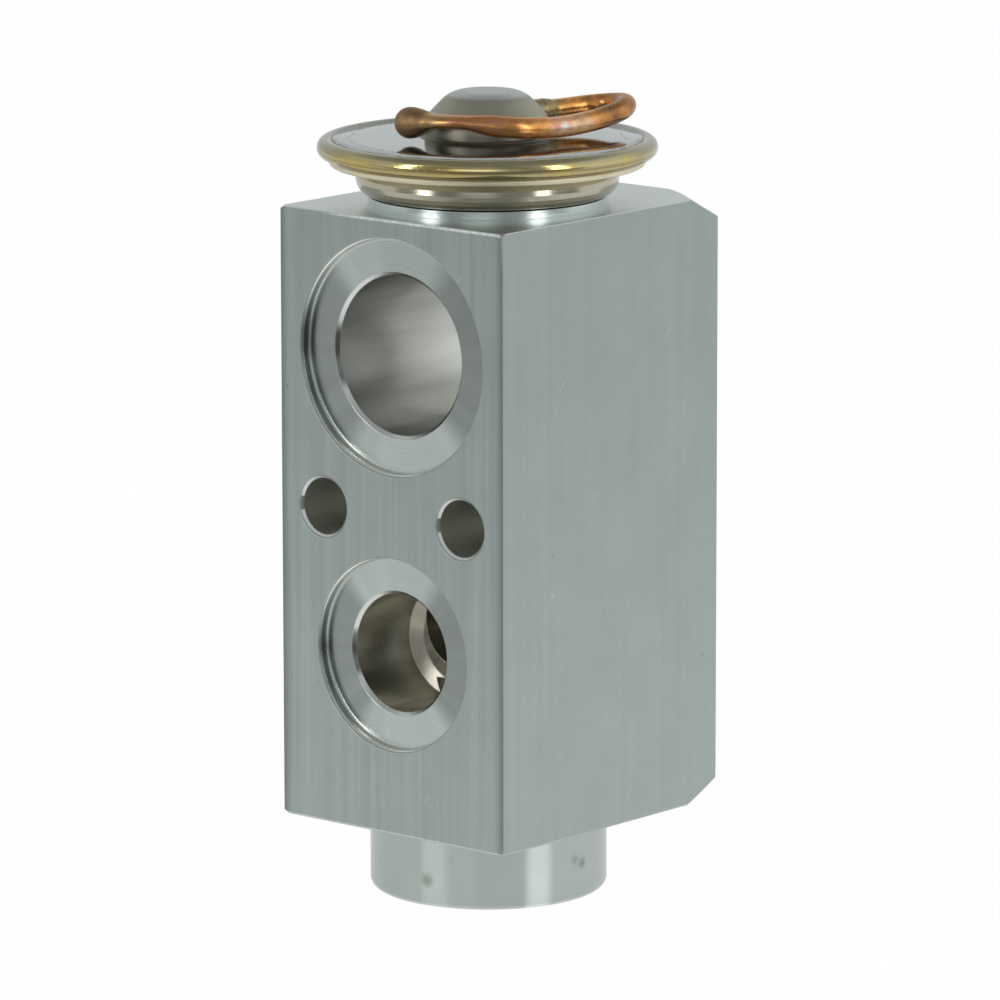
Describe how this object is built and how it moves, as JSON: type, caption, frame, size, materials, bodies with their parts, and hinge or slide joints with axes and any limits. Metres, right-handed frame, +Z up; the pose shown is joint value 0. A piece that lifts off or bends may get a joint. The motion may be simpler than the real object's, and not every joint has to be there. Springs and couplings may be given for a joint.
{
  "type": "block expansion valve",
  "caption": "Machined block expansion valve with bored ports front and rear, a welded diaphragm head with a bent charge tube, and an inner ball valve with spring and adjusting screw.",
  "frame": {"origin": "centre of the foot boss's lower end face, on the valve axis", "axes": "+Z up along the valve axis to the power head; the face with the liquid outlet and the outgoing suction port looks along -Y; +X to the right of that face"},
  "size_m": [0.0384, 0.0401, 0.0915],
  "materials": {
    "block": "machined, finely brushed, matte",
    "screw": "turned",
    "seal": "moulded",
    "spring": "drawn wire",
    "carrier": "turned",
    "sheet_spring": "stamped",
    "ball": "polished",
    "pin": "ground",
    "retainer": "stamped",
    "rod": "turned",
    "stop": "turned",
    "lower_lid": "pressed and turned, satin",
    "diaphragm": "rolled foil",
    "bead": "golden heat-tinted weld",
    "upper_lid": "bright lid with a satin dome",
    "ferrule": "turned",
    "braze": "olive braze",
    "copper": "drawn copper with heat tints"
  },
  "bodies": {
    "housing": {"valve_body": "block", "rod_seal": "seal", "rod_seal_retainer": "retainer", "head_seal": "seal", "lower_lid": "lower_lid", "diaphragm": "diaphragm", "rim_weld_bead": "bead", "upper_lid": "upper_lid", "tube_ferrule": "ferrule", "tube_braze": "braze", "charge_tube": "copper"},
    "valve_train": {"diaphragm_stop": "stop", "sensing_rod": "rod", "actuating_pin": "pin", "valve_ball": "ball", "ball_carrier": "carrier", "damping_spring": "sheet_spring"},
    "screw_carriage": {"adjusting_screw_seal": "seal", "superheat_spring": "spring"},
    "screw": {"adjusting_screw": "screw"}
  },
  "joints": [
    {"name": "valve_lift", "type": "slide", "parent": "housing", "child": "valve_train", "axis": [0, 0, -1], "range_m": [0, 0.0008], "stiffness_N_per_m": 15800, "deforming": ["superheat_spring", "diaphragm"]},
    {"name": "screw_advance", "type": "slide", "parent": "housing", "child": "screw_carriage", "axis": [0, 0, 1], "range_m": [-0.001, 0.001], "deforming": ["superheat_spring"]},
    {"name": "screw_turn", "type": "hinge", "parent": "screw_carriage", "child": "screw", "pos_m": [0, 0, 0.0036], "axis": [0, 0, 1], "range_deg": [-360, 360]}
  ],
  "couplings": [
    {"joint": "screw_turn", "follows": "screw_advance", "rad_per_m": 6283.2}
  ]
}
